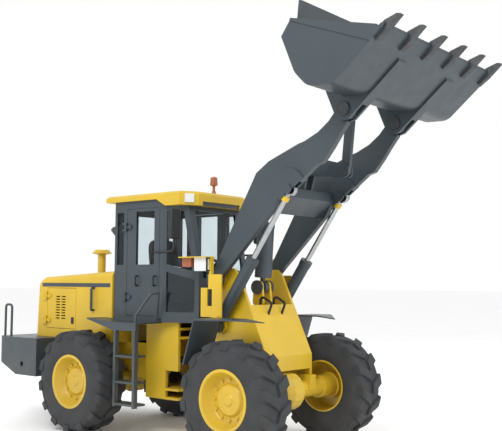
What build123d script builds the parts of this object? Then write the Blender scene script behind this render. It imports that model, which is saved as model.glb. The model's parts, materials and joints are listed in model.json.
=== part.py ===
from build123d import *
import math
import os

# Articulated wheel loader, boom raised and bucket rolled back. Millimetres, +X forward, +Y left, +Z up.
# While modelling, x = 0 is the articulation axis. The export moves the origin to the middle of the footprint.

# Wheels
WHEELBASE = 2660
TRACK = 1860
TYRE_RADIUS = 655
TYRE_WIDTH = 445
CARCASS_RADIUS = 617
BEAD_RADIUS = 322
RIM_RADIUS = 348
RIM_WIDTH = 384
TYRE_SIDES = 28
SHOULDER = 45
LUGS_PER_SIDE = 14
LUG_THICKNESS = 115
LUG_SKEW = 30
HUB_RADIUS = 165
SPINDLE_RADIUS = 70
DISC_INSET = 96
RUNNING_FIT = 0.05
GAP = 6
TUBE_SIDES = 8
ROUND_SIDES = 16
SEAT_GAP = 0.3

# Boom, in the side view: places as (x, z)
BOOM_PIVOT = (670, 1980)
BUCKET_PIVOT = (2570, 3810)
LIFT_BASE = (700, 1420)
LIFT_EYE = (1800, 3000)
TILT_BASE = (970, 1890)
TILT_EYE = (1050, 3135)
ROCKER_PIVOT = (1650, 3340)
LINK_LOW = (2195, 3220)
LINK_HIGH = (2290, 4050)
ARM_CENTRE = 530
ARM_THICKNESS = 70
ARM_ROOT_RADIUS = 118
ARM_TIP_RADIUS = 104
PIN_RADIUS = 45
LINK_PIN_RADIUS = 50
CAP_RADIUS = 85
CAP_THICKNESS = 28
# Arm sections along the line from pivot to pivot: station, top edge, bottom edge
ARM_SECTIONS = [
    (40, 100, -80),
    (150, 107, -62),
    (1330, 437, -56),
    (1550, 396, -87),
    (1960, 220, -140),
    (2045, 172, -184),
    (2230, 105, -164),
    (2400, 82, -134),
    (2560, 94, -114),
]

# Lift cylinder's pocket in the arm: cheek plates, and where the barrel needs room, measured from its eye
CHEEK = 22
CHEEK_EDGE = 4
CHEEK_RADIUS = 235
NOTCH = (150, 420)
LIFT_TRAVEL = 88

# Cylinders
LIFT_BARREL_RADIUS = 72
LIFT_BARREL_LENGTH = 977
LIFT_ROD_RADIUS = 32
TILT_BARREL_RADIUS = 105
TILT_BARREL_LENGTH = 800
TILT_ROD_RADIUS = 28
EYE_RADIUS = 78
EYE_WIDTH = 58
STEER_BASE = (-440, 230)
STEER_EYE = (300, 230)
STEER_HEIGHT = 950
STEER_BARREL_RADIUS = 42
STEER_BARREL_LENGTH = 470
STEER_ROD_RADIUS = 22
STEER_PIN_RADIUS = 20

# Bucket, in its own side view: along the floor from the hinge, and above the hinge
BUCKET_TILT = 40
BUCKET_WIDTH = 2450
BUCKET_WALL = 25
BUCKET_FLOOR = -100
BUCKET_LIP = (1004, -100)
BUCKET_HEEL = (300, -100)
BUCKET_BACK_LOW = (60, 120)
BUCKET_BACK_MID = (45, 360)
BUCKET_BACK_TOP = (174, 783)
BUCKET_BROW = (383, 834)
BUCKET_CHEEK = (1004, -39)
SPILL_TOP = (553, 985)
HEEL_RADIUS = 190
TOOTH_COUNT = 6
TOOTH_MARGIN = 76
TOOTH_PITCH = (BUCKET_WIDTH - 2 * TOOTH_MARGIN) / (TOOTH_COUNT - 1)
TOOTH_TIP = (1227, -133)
TOOTH_WIDTH = 74

# Rear half
COUNTERWEIGHT_REAR = -3090
COUNTERWEIGHT_FRONT = -2150
COUNTERWEIGHT_HALF = 1060
COUNTERWEIGHT_BOTTOM = 650
DECK_TOP = 1165
DECK_THICKNESS = 25
HOOD_REAR = -2720
HOOD_FRONT = -1090
HOOD_HALF = 640
HOOD_TOP_REAR = 2010
HOOD_TOP_FRONT = 2090
HOOD_WALL = 25
HOOD_DOOR = (-2490, -1850, 1290, 1850)
FRAME_INNER = 330
FRAME_PLATE = 40
FRAME_END = -2640
HITCH_X = -3020
HITCH_PIN_RADIUS = 26
JAW_HALF = 62
JAW_HEIGHTS = (860, 960)
JAW_DEPTH = 170
TOWER_HALF = 500

AXLE_SEAT = 830
SHAFT_HEIGHT = 680
SHAFT_RADIUS = 40
SHAFT_FRONT_START = 72
CASING_RADIUS = 225
CASING_HALF = 170
TRANSMISSION = (-850, -600)

# Articulation: heights of the two tongues
TONGUE_HEIGHTS = (540, 1300)
TONGUE_THICKNESS = 70
FORK_PLATE = 30
STEER_PIVOT_RADIUS = 40

# Cab
CAB_REAR = -1075
CAB_CORNER = -164
CAB_FRONT = 320
CAB_HALF = 620
CAB_FRONT_HALF = 450
CAB_FLOOR = 1440
CAB_FLOOR_THICKNESS = 70
CAB_TOP = 3000
CAB_WALL = 45
WINDSCREEN_FOOT = 2120
WINDSCREEN_LEAN = 11
GLASS_DEPTH = 14
GLASS_THICKNESS = 12
DOOR_REAR = -833
DOOR_FRONT = -215
DOOR_BOTTOM = 1516
DOOR_TOP = 2894
ROOF_REAR = -1215
ROOF_CORNER = 170
ROOF_FRONT = 285
ROOF_HALF = 665
ROOF_FRONT_HALF = 440
ROOF_THICKNESS = 85
VISOR_BOTTOM = 2910

# Front half
TOWER_PLATE_IN = 400
TOWER_PLATE_OUT = 440
FENDER_IN = 700
FENDER_OUT = 1150
FENDER_TOP = 1535


def box(x0, x1, y0, y1, z0, z1):
    return Pos((x0 + x1) / 2, (y0 + y1) / 2, (z0 + z1) / 2) * Box(x1 - x0, y1 - y0, z1 - z0)


def side_plate(points, y0, y1):
    """A plate with a side-view outline of (x, z) points, from y0 to y1."""
    outline = Polyline(*[(x, y0, z) for x, z in points], close=True)
    return extrude(make_face(outline), amount=y1 - y0, dir=(0, 1, 0))


def rounded_plate(points, radius, y0, y1):
    outline = FilletPolyline(*[(x, y0, z) for x, z in points], radius=radius, close=True)
    return extrude(make_face(outline), amount=y1 - y0, dir=(0, 1, 0))


def floor_plate(points, z0, z1):
    """A plate with a plan outline of (x, y) points, from z0 to z1."""
    outline = Polyline(*[(x, y, z0) for x, y in points], close=True)
    return extrude(make_face(outline), amount=z1 - z0, dir=(0, 0, 1))


def bar(start, end, radius):
    """A round bar between two points."""
    along = Vector(*end) - Vector(*start)
    return Part(Solid.make_cylinder(radius, along.length, Plane(origin=start, z_dir=along)).wrapped)


def cross_bar(place, radius, y0, y1):
    """A round bar across the machine at a side-view place (x, z)."""
    return bar((place[0], y0, place[1]), (place[0], y1, place[1]), radius)


def prism(start, end, radius, sides):
    """A many-sided bar between two points, with a corner straight below its axis or towards +X."""
    along = Vector(*end) - Vector(*start)
    side = (1, 0, 0) if abs(along.X) < along.length / 2 else (0, 0, 1)
    section = Plane(origin=start, x_dir=side, z_dir=along) * RegularPolygon(radius, sides)
    return extrude(section, amount=along.length, dir=along)


def upright(x, y, radius, z0, z1):
    return bar((x, y, z0), (x, y, z1), radius)


def tube(points, bend, radius):
    path = FilletPolyline(*points, radius=bend)
    section = Plane(origin=path @ 0, z_dir=path % 0) * RegularPolygon(radius, TUBE_SIDES)
    return sweep(section, path=path)


def mirrored(solid):
    return mirror(solid, about=Plane.XZ)


def pair(solid):
    return [solid, mirrored(solid)]


def inset(points, distance):
    """The corners of a closed anticlockwise outline, moved inwards."""
    moved = []
    for k, here in enumerate(points):
        back = Vector(*here) - Vector(*points[k - 1])
        ahead = Vector(*points[(k + 1) % len(points)]) - Vector(*here)
        n0 = Vector(-back.Y, back.X) / back.length
        n1 = Vector(-ahead.Y, ahead.X) / ahead.length
        corner = Vector(*here) + (n0 + n1) * (distance / (1 + n0.dot(n1)))
        moved.append((corner.X, corner.Y))
    return moved


def between(start, end, distance):
    """The side-view place that lies a distance from start towards end."""
    length = math.dist(start, end)
    return tuple(a + (b - a) * distance / length for a, b in zip(start, end))


def turned(place, centre, degrees):
    """A side-view place turned about a centre, anticlockwise."""
    c = math.cos(math.radians(degrees))
    s = math.sin(math.radians(degrees))
    x, z = place[0] - centre[0], place[1] - centre[1]
    return centre[0] + x * c - z * s, centre[1] + x * s + z * c


def boom_place(station, offset):
    """A side-view place from a station along the boom and an offset above its line."""
    length = math.dist(BOOM_PIVOT, BUCKET_PIVOT)
    ex, ez = ((b - a) / length for a, b in zip(BOOM_PIVOT, BUCKET_PIVOT))
    return BOOM_PIVOT[0] + station * ex - offset * ez, BOOM_PIVOT[1] + station * ez + offset * ex


def bucket_place(place):
    """A side-view place from the bucket's own axes."""
    c = math.cos(math.radians(BUCKET_TILT))
    s = math.sin(math.radians(BUCKET_TILT))
    along, above = place
    return BUCKET_PIVOT[0] + along * c - above * s, BUCKET_PIVOT[1] + along * s + above * c


def bucket_plate(points, y0, y1):
    return side_plate([bucket_place(p) for p in points], y0, y1)


ORIGIN_X = (bucket_place(TOOTH_TIP)[0] + COUNTERWEIGHT_REAR) / 2
PARTS = {}


def keep(name, *solids):
    PARTS[name] = Part() + list(solids)


# Wheels
def tyre():
    """Carcass with shoulders and angled lugs, axis along +Y, outer side towards +Y."""
    half = TYRE_WIDTH / 2
    body = prism((0, -half, 0), (0, half, 0), CARCASS_RADIUS, TYRE_SIDES)
    rims = body.edges().group_by(Axis.Y)
    body = chamfer(rims[0] + rims[-1], SHOULDER)
    root = CARCASS_RADIUS - 12
    inner_edge = 12
    lugs = []
    for side in (1, -1):
        toe = -math.tan(math.radians(LUG_SKEW)) * (half - inner_edge)
        corners = [
            (-LUG_THICKNESS / 2, side * inner_edge),
            (LUG_THICKNESS / 2, side * inner_edge),
            (toe + LUG_THICKNESS / 2, side * half),
            (toe - LUG_THICKNESS / 2, side * half),
        ]
        outline = Polyline(*[(x, y, root - SHOULDER) for x, y in corners], close=True)
        lug = extrude(make_face(outline), amount=TYRE_RADIUS + SHOULDER - root, dir=(0, 0, 1))
        stagger = 0.5 if side > 0 else 0
        for k in range(LUGS_PER_SIDE):
            lugs.append(Rot(0, (k + stagger) * 360 / LUGS_PER_SIDE, 0) * lug)
    trim = prism((0, -half, 0), (0, half, 0), TYRE_RADIUS, TYRE_SIDES)
    bore = prism((0, -half, 0), (0, half, 0), BEAD_RADIUS, 2 * ROUND_SIDES)
    recess = prism((0, RIM_WIDTH / 2, 0), (0, half, 0), RIM_RADIUS + GAP, 2 * ROUND_SIDES)
    return ((body + lugs) & trim) - bore - recess


def rim():
    """Dished disc wheel, axis along +Y, outer side towards +Y, with a blind bore for the spindle."""
    half = RIM_WIDTH / 2
    disc = half - DISC_INSET
    sides = 2 * ROUND_SIDES
    lip = half + 16
    dish = RIM_RADIUS - 60
    solid = prism((0, -half, 0), (0, lip, 0), BEAD_RADIUS - SEAT_GAP, sides)
    solid += prism((0, half + 5, 0), (0, lip, 0), RIM_RADIUS, sides)
    solid -= prism((0, disc - 30, 0), (0, lip, 0), dish, sides)
    solid -= prism((0, -half, 0), (0, disc - 60, 0), dish, sides)
    solid += prism((0, -40, 0), (0, disc, 0), HUB_RADIUS, ROUND_SIDES)
    return solid - bar((0, -60, 0), (0, disc - 30, 0), SPINDLE_RADIUS + RUNNING_FIT)


# Wheel places: name, x of its axle, side (+1 left, -1 right)
WHEELS = [
    ("front_left", WHEELBASE / 2, 1),
    ("front_right", WHEELBASE / 2, -1),
    ("rear_left", -WHEELBASE / 2, 1),
    ("rear_right", -WHEELBASE / 2, -1),
]


def wheels():
    left_tyre, left_rim = tyre(), rim()
    for name, x, side in WHEELS:
        place = Pos(x, side * TRACK / 2, TYRE_RADIUS)
        keep(f"tyre_{name}", place * (left_tyre if side > 0 else mirrored(left_tyre)))
        keep(f"rim_{name}", place * (left_rim if side > 0 else mirrored(left_rim)))


def axle(name, x, nose, shaft_end):
    """Axle housing, differential and its half of the drive shaft; nose is the side of that shaft."""
    half = TRACK / 2
    tube_end = half - 52
    casing = prism((x, -CASING_HALF, TYRE_RADIUS), (x, CASING_HALF, TYRE_RADIUS), CASING_RADIUS, ROUND_SIDES)
    rims = casing.edges().group_by(Axis.Y)
    casing = chamfer(rims[0] + rims[-1], CASING_HALF / 2)
    beam = prism((x, -tube_end, TYRE_RADIUS), (x, tube_end, TYRE_RADIUS), 105, ROUND_SIDES)
    ends = pair(prism((x, tube_end - 230, TYRE_RADIUS), (x, tube_end, TYRE_RADIUS), HUB_RADIUS - 25, ROUND_SIDES))
    spindle_end = half + RIM_WIDTH / 2 - DISC_INSET - 36
    spindle = bar((x, -spindle_end, TYRE_RADIUS), (x, spindle_end, TYRE_RADIUS), SPINDLE_RADIUS)
    snout = prism((x, 0, SHAFT_HEIGHT), (x + nose * 300, 0, SHAFT_HEIGHT), 90, ROUND_SIDES)
    shaft = prism((x, 0, SHAFT_HEIGHT), (shaft_end, 0, SHAFT_HEIGHT), SHAFT_RADIUS, TUBE_SIDES)
    seats = pair(box(x - 130, x + 130, FRAME_INNER, TOWER_PLATE_OUT, TYRE_RADIUS, AXLE_SEAT))
    keep(name, casing, beam, spindle, snout, shaft, *ends, *seats)


# Rear half
def rear_frame():
    outer = FRAME_INNER + FRAME_PLATE
    deck_low = DECK_TOP - DECK_THICKNESS
    rail = side_plate(
        [(FRAME_END, 830), (-1750, 830), (-1600, AXLE_SEAT), (-1060, AXLE_SEAT), (-900, 700), (-520, 620),
         (-520, deck_low), (FRAME_END, deck_low)], FRAME_INNER, outer)
    # The deck carries the hood round its edge and leaves the engine open in the middle
    deck = box(FRAME_END, HOOD_FRONT, -HOOD_HALF, HOOD_HALF, deck_low, DECK_TOP)
    deck -= box(-2480, -1250, -FRAME_INNER, FRAME_INNER, 0, 2000)
    posts = [box(x, x + 90, FRAME_INNER, outer, deck_low, CAB_FLOOR) for x in (-1000, -610)]
    bulkhead = box(-560, -520, -TOWER_HALF, TOWER_HALF, 470, CAB_FLOOR)
    bulkhead -= bar((-600, 0, SHAFT_HEIGHT), (-500, 0, SHAFT_HEIGHT), 120)
    cheek = side_plate([(-540, 830), (-480, 830), (-300, CAB_FLOOR), (-540, CAB_FLOOR)], 460, TOWER_HALF)
    flank = side_plate([(-480, 830), (20, 830), (20, CAB_FLOOR), (-300, CAB_FLOOR)], 460, TOWER_HALF)
    fork = [(-540, -TOWER_HALF), (20, -TOWER_HALF), (100, -110), (100, 110), (20, TOWER_HALF),
            (-540, TOWER_HALF)]
    reach = TONGUE_THICKNESS / 2 + GAP
    plates = []
    for z in TONGUE_HEIGHTS:
        plates.append(floor_plate(fork, z + reach, z + reach + FORK_PLATE))
        plates.append(floor_plate(fork, z - reach - FORK_PLATE, z - reach))
        plates.append(upright(0, 0, STEER_PIVOT_RADIUS, z - reach - FORK_PLATE, z + reach + FORK_PLATE))
    low_flank = box(-540, -200, 460, TOWER_HALF, 470, 830)
    lugs = []
    for z in (STEER_HEIGHT - 52, STEER_HEIGHT + 32):
        lugs.append(box(-540, STEER_BASE[0], STEER_BASE[1] - 45, STEER_BASE[1] + 45, z, z + 20))
        lugs.append(upright(*STEER_BASE, 45, z, z + 20))
    lugs.append(upright(*STEER_BASE, STEER_PIN_RADIUS, STEER_HEIGHT - 60, STEER_HEIGHT + 60))
    halves = [rail, cheek, flank, low_flank, *posts, *lugs]
    solids = [deck, bulkhead, *plates]
    for half in halves:
        solids += pair(half)
    keep("rear_frame", *solids)


def counterweight():
    """Cast block behind the rear wheels with a slanted rear underside, a hitch jaw and side holes."""
    block = box(COUNTERWEIGHT_REAR, COUNTERWEIGHT_FRONT, -COUNTERWEIGHT_HALF, COUNTERWEIGHT_HALF,
                COUNTERWEIGHT_BOTTOM, DECK_TOP)
    rear_corners = block.edges().filter_by(Axis.Z).group_by(Axis.X)[0]
    block = fillet(rear_corners, 160)
    slant = side_plate([(-2620, 600), (-2620, COUNTERWEIGHT_BOTTOM), (COUNTERWEIGHT_REAR, 850), (-3200, 850),
                        (-3200, 600)], -1200, 1200)
    pocket = box(FRAME_END, -2000, -HOOD_HALF, HOOD_HALF, 500, 1300)
    jaw = box(COUNTERWEIGHT_REAR - 50, COUNTERWEIGHT_REAR + JAW_DEPTH, -JAW_HALF, JAW_HALF, *JAW_HEIGHTS)
    pin = upright(HITCH_X, 0, HITCH_PIN_RADIUS, 700, 1100)
    holes = pair(bar((-2480, COUNTERWEIGHT_HALF - 90, 800), (-2480, COUNTERWEIGHT_HALF + 10, 800), 36))
    keep("counterweight", block - slant - pocket - jaw - pin - holes[0] - holes[1])


# Door hinges: the pin stands off the wall, a bracket at each end holds it, the door's knuckle turns on it
HINGE_OFFSET = 24
HINGE_PIN_RADIUS = 9
HINGE_LENGTH = 110
BRACKET_RADIUS = 12
BRACKET_HEIGHT = 25
BRACKET_REACH = 60
KNUCKLE_RADIUS = 16
KNUCKLE_HALF = 25
KNUCKLE_REACH = 90


def door_hinge(x, wall, z):
    """One hinge on the left-hand wall: its fixed half and its half on the door."""
    y = wall + HINGE_OFFSET
    low, high = z - HINGE_LENGTH / 2, z + HINGE_LENGTH / 2
    fixed = upright(x, y, HINGE_PIN_RADIUS, low, high)
    for z0 in (low, high - BRACKET_HEIGHT):
        fixed += box(x - BRACKET_REACH, x, wall, y + BRACKET_RADIUS, z0, z0 + BRACKET_HEIGHT)
        fixed += upright(x, y, BRACKET_RADIUS, z0, z0 + BRACKET_HEIGHT)
    moving = upright(x, y, KNUCKLE_RADIUS, z - KNUCKLE_HALF, z + KNUCKLE_HALF)
    moving += box(x + GAP, x + KNUCKLE_REACH, wall, y - GAP, z - KNUCKLE_HALF, z + KNUCKLE_HALF)
    moving -= upright(x, y, HINGE_PIN_RADIUS + RUNNING_FIT, low, high)
    return fixed, moving


def hood_outline(wall):
    return inset([(HOOD_REAR, DECK_TOP), (HOOD_FRONT, DECK_TOP), (HOOD_FRONT, HOOD_TOP_FRONT),
                  (HOOD_REAR + 120, HOOD_TOP_REAR), (HOOD_REAR + 40, HOOD_TOP_REAR - 40)], wall)


def hood_shell(wall):
    half = HOOD_HALF - wall
    solid = side_plate(hood_outline(wall), -half, half)
    rims = [e for e in solid.edges() if e.bounding_box().min.Z > 1960 and abs(e.center().Y) > half - 1]
    return fillet(rims, 80 - wall)


def hood():
    x0, x1, z0, z1 = HOOD_DOOR
    shell = hood_shell(0) - hood_shell(HOOD_WALL)
    shell -= box(HOOD_REAR + HOOD_WALL, HOOD_FRONT - HOOD_WALL, HOOD_WALL - HOOD_HALF, HOOD_HALF - HOOD_WALL,
                 DECK_TOP - 10, DECK_TOP + 100)
    shell -= box(x0 - GAP, x1 + GAP, -HOOD_HALF - 50, HOOD_HALF + 50, z0 - GAP, z1 + GAP)
    shell -= box(HOOD_REAR - 50, HOOD_REAR + 90, -470, 470, 1250, 1890)
    hinges = [door_hinge(x0 - GAP, HOOD_HALF, z) for z in (z0 + 110, z1 - 110)]
    for fixed, moving in hinges:
        shell += pair(fixed)
    keep("hood", shell)
    door = box(x0, x1, HOOD_HALF - HOOD_WALL, HOOD_HALF, z0, z1)
    door += [moving for fixed, moving in hinges]
    louvre_columns, louvre_rows = 2, 9
    for column in range(louvre_columns):
        for row in range(louvre_rows):
            x = x0 + 190 + column * 125
            z = z0 + 130 + row * 38
            door -= box(x, x + 95, HOOD_HALF - 60, HOOD_HALF + 10, z, z + 17)
    keep("hood_door_left", door)
    keep("hood_door_right", mirrored(door))


def engine_bay():
    keep("engine_block", box(-2350, -1300, -FRAME_INNER, FRAME_INNER, 1000, 1790))
    slats = [box(HOOD_REAR + 4, HOOD_REAR + 34, -470, 470, 1290 + 62 * k, 1310 + 62 * k) for k in range(10)]
    core = box(HOOD_REAR + 34, HOOD_REAR + 90, -470, 470, 1250, 1890)
    keep("radiator_grille", core, *slats)
    cap = Pos(-1720, -300, 0) * revolve(
        make_face(Polyline((0, 0, 2040), (55, 0, 2040), (55, 0, 2325), (145, 0, 2345), (95, 0, 2395),
                           (0, 0, 2410), close=True)), axis=Axis.Z)
    keep("pre_cleaner", cap - hood_shell(0))
    stack = tube([(-1950, 200, 2030), (-1950, 200, 2630), (-2060, 200, 2730)], 90, 46)
    keep("exhaust_stack", stack - hood_shell(0))


def driveline():
    """Transmission with the rear half of the articulated shaft; its spider sits on the steering axis."""
    x0, x1 = TRANSMISSION
    case = box(x0, x1, -260, 260, 480, 1000) + box(x0, x1, -FRAME_INNER, FRAME_INNER, 780, 880)
    shaft = prism((x1, 0, SHAFT_HEIGHT), (0, 0, SHAFT_HEIGHT), SHAFT_RADIUS, TUBE_SIDES)
    spider = upright(0, 0, 60, SHAFT_HEIGHT - 45, SHAFT_HEIGHT + 45)
    keep("transmission", case, shaft, spider)


# Cab
def cab_plan(distance):
    return inset([(CAB_REAR, -CAB_HALF), (CAB_CORNER, -CAB_HALF), (CAB_FRONT, -CAB_FRONT_HALF),
                  (CAB_FRONT, CAB_FRONT_HALF), (CAB_CORNER, CAB_HALF), (CAB_REAR, CAB_HALF)], distance)


def cab_volume(distance):
    """The cab's outer form moved inwards by a distance, with the leaning windscreen."""
    foot = CAB_FLOOR + CAB_FLOOR_THICKNESS
    solid = floor_plate(cab_plan(distance), foot, CAB_TOP)
    lean = math.tan(math.radians(WINDSCREEN_LEAN))
    x = CAB_FRONT - distance
    top = CAB_TOP + 100
    wedge = side_plate([(x, WINDSCREEN_FOOT), (x + 500, WINDSCREEN_FOOT), (x + 500, top),
                        (x - lean * (top - WINDSCREEN_FOOT), top)], -900, 900)
    return solid - wedge


def side_cut(points):
    """A window cutter through both side walls."""
    return side_plate(points, -CAB_HALF - 60, -300) + side_plate(points, 300, CAB_HALF + 60)


def rectangle(x0, x1, z0, z1):
    return [(x0, z0), (x1, z0), (x1, z1), (x0, z1)]


def cab():
    foot = CAB_FLOOR + CAB_FLOOR_THICKNESS
    keep("cab_floor", floor_plate(cab_plan(0), CAB_FLOOR, foot))
    wall = cab_volume(0) - cab_volume(CAB_WALL)
    pane = cab_volume(GLASS_DEPTH) - cab_volume(GLASS_DEPTH + GLASS_THICKNESS)
    doorway = side_cut(rectangle(DOOR_REAR, DOOR_FRONT, DOOR_BOTTOM - GAP, DOOR_TOP + GAP))
    windows = [
        side_cut(rectangle(-1030, -900, 2170, 2860)),
        side_cut([(-110, 2170), (225, 2085), (225, 2180), (112, 2840), (-110, 2840)]),
        side_cut([(-110, 1570), (262, 1570), (262, 1975), (-110, 2075)]),
        box(100, 500, -385, 385, 2000, 2850),
        box(CAB_REAR - 50, CAB_REAR + 200, -470, 470, 2120, 2840),
    ]
    door_window = side_cut(rectangle(-660, -318, 2170, 2862))
    glass = []
    for cutter in windows:
        glass.append(pane & cutter)
        wall -= cutter
    hinges = [door_hinge(DOOR_REAR, CAB_HALF, z) for z in (DOOR_BOTTOM + 230, DOOR_TOP - 230)]
    wall -= doorway
    for fixed, moving in hinges:
        wall += pair(fixed)
    keep("cab_shell", wall)
    keep("cab_glass", *glass)
    leaf = (cab_volume(0) - cab_volume(CAB_WALL)) & side_cut(
        rectangle(DOOR_REAR + GAP, DOOR_FRONT - GAP, DOOR_BOTTOM, DOOR_TOP))
    leaf -= door_window
    leaf_glass = pane & door_window
    left_leaf = leaf.solids().sort_by(Axis.Y)[-1] + [moving for fixed, moving in hinges]
    left_glass = leaf_glass.solids().sort_by(Axis.Y)[-1]
    keep("cab_door_left", left_leaf)
    keep("cab_door_right", mirrored(left_leaf))
    keep("door_glass_left", left_glass)
    keep("door_glass_right", mirrored(left_glass))


def roof():
    plan = [(ROOF_REAR, -ROOF_HALF), (ROOF_CORNER, -ROOF_HALF), (ROOF_FRONT, -ROOF_FRONT_HALF),
            (ROOF_FRONT, ROOF_FRONT_HALF), (ROOF_CORNER, ROOF_HALF), (ROOF_REAR, ROOF_HALF)]
    top = CAB_TOP + ROOF_THICKNESS
    slab = floor_plate(plan, CAB_TOP, top)
    slab = chamfer(slab.faces().sort_by(Axis.Z)[-1].edges(), 30)
    skirt = floor_plate(plan, VISOR_BOTTOM, CAB_TOP) & side_plate(
        [(-250, CAB_TOP), (-85, VISOR_BOTTOM), (500, VISOR_BOTTOM), (500, CAB_TOP)], -900, 900)
    skirt -= cab_volume(0)
    solid = slab + skirt
    solid -= box(ROOF_FRONT - 25, ROOF_FRONT + 25, -360, 360, VISOR_BOTTOM - 10, VISOR_BOTTOM + 55)
    corner = Vector(ROOF_FRONT - ROOF_CORNER, ROOF_HALF - ROOF_FRONT_HALF)
    turn = math.degrees(math.atan2(corner.Y, corner.X))
    middle = ((ROOF_CORNER + ROOF_FRONT) / 2, -(ROOF_HALF + ROOF_FRONT_HALF) / 2, VISOR_BOTTOM + 85)
    lamp = Pos(*middle) * Rot(0, 0, turn) * Box(120, 60, 110)
    lamps = pair(lamp)
    keep("cab_roof", solid - lamps[0] - lamps[1])
    keep("roof_lamps", *lamps)
    dome = revolve(make_face(Polyline((0, 0, top), (40, 0, top), (18, 0, top + 60), (18, 0, top + 110),
                                      (52, 0, top + 125), (46, 0, top + 230), (0, 0, top + 255), close=True)),
                   axis=Axis.Z)
    keep("beacon", Pos(140, 0, 0) * dome)


def cab_inside():
    foot = CAB_FLOOR + CAB_FLOOR_THICKNESS
    base = box(-760, -400, -200, 200, foot, foot + 300)
    cushion = box(-800, -320, -260, 260, foot + 300, foot + 420)
    back = side_plate([(-800, foot + 420), (-690, foot + 420), (-790, foot + 1020), (-880, foot + 1020)],
                      -250, 250)
    keep("seat", base, cushion, back)
    column = side_plate([(60, foot), (230, foot), (170, foot + 420), (100, foot + 480), (40, foot + 420)],
                        -170, 170)
    hub_low = (60, foot + 440)
    hub_high = (-40, foot + 640)
    stem = bar((hub_low[0], 0, hub_low[1]), (hub_high[0], 0, hub_high[1]), 22)
    axis = Vector(hub_high[0] - hub_low[0], 0, hub_high[1] - hub_low[1])
    seat_plane = Plane(origin=(hub_high[0], 0, hub_high[1]), z_dir=axis)
    ring = seat_plane * (Cylinder(200, 26) - Cylinder(174, 26))
    spokes = seat_plane * (Box(380, 30, 14) + Box(30, 380, 14))
    keep("steering_console", column, stem, ring, spokes)


def outside_fittings():
    arm = tube([(-190, -CAB_HALF, 2320), (-190, -760, 2320), (230, -810, 2320), (230, -810, 2480)], 60, 14)
    head = Pos(240, -815, 2660) * Box(70, 170, 380)
    head = fillet(head.edges().filter_by(Axis.Y), 20)
    keep("mirrors", *pair(arm + head))
    loop = tube([(-3040, -960, DECK_TOP), (-3040, -960, 1610), (-2890, -960, 1610), (-2890, -960, DECK_TOP)],
                50, 17)
    rail = tube([(-245, -985, CAB_FLOOR), (-245, -985, 1530), (-140, -840, 1790), (-90, -740, 1820),
                 (-190, -700, 1475), (-190, -CAB_HALF, 1475)], 35, 17)
    grip = tube([(-1460, -HOOD_HALF, 1860), (-1460, -690, 1860), (-1460, -690, 1560),
                 (-1460, -HOOD_HALF, 1560)], 25, 20)
    keep("handrails", *pair(loop), *pair(rail), *pair(grip))
    lamp = box(COUNTERWEIGHT_REAR - 25, COUNTERWEIGHT_REAR, 560, 800, 1000, 1110)
    keep("tail_lamps", *pair(lamp))


PLATFORM = (690 - WHEELBASE / 2, -215, 1010)
GUARD_END = 180 - WHEELBASE / 2


def platforms():
    """Side platforms with the rear mudguard, ladder stringers and steps."""
    x0, x1, outer = PLATFORM
    plate = box(x0, x1, 560, outer, CAB_FLOOR - 15, CAB_FLOOR)
    skirt = box(x0, x1, outer - 15, outer, CAB_FLOOR - 100, CAB_FLOOR)
    guard = side_plate([(x0, CAB_FLOOR), (x0, CAB_FLOOR - 15), (GUARD_END, CAB_FLOOR + 25),
                        (GUARD_END, CAB_FLOOR + 40)], 690, outer)
    lip = side_plate([(x0, CAB_FLOOR - 100), (x0, CAB_FLOOR), (GUARD_END, CAB_FLOOR + 40),
                      (GUARD_END, CAB_FLOOR + 25)], outer - 15, outer)
    stringers = [box(x, x + 40, outer - 60, outer, 400, CAB_FLOOR) for x in (x0 + 20, x1 - 50)]
    steps = [box(x0 + 20, x1 - 10, outer - 190, outer, z, z + 25) for z in (420, 690, 1010)]
    side = Part() + [plate, skirt, guard, lip, *stringers, *steps]
    keep("platforms", *pair(side))


# Front half
def front_face():
    """The slanted plate between the tower plates."""
    return side_plate([(1400, 905), (1400, 1080), (1122, 1680), (1095, 1668), (1370, 1074), (1370, 905)],
                      -TOWER_PLATE_IN, TOWER_PLATE_IN)


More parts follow.
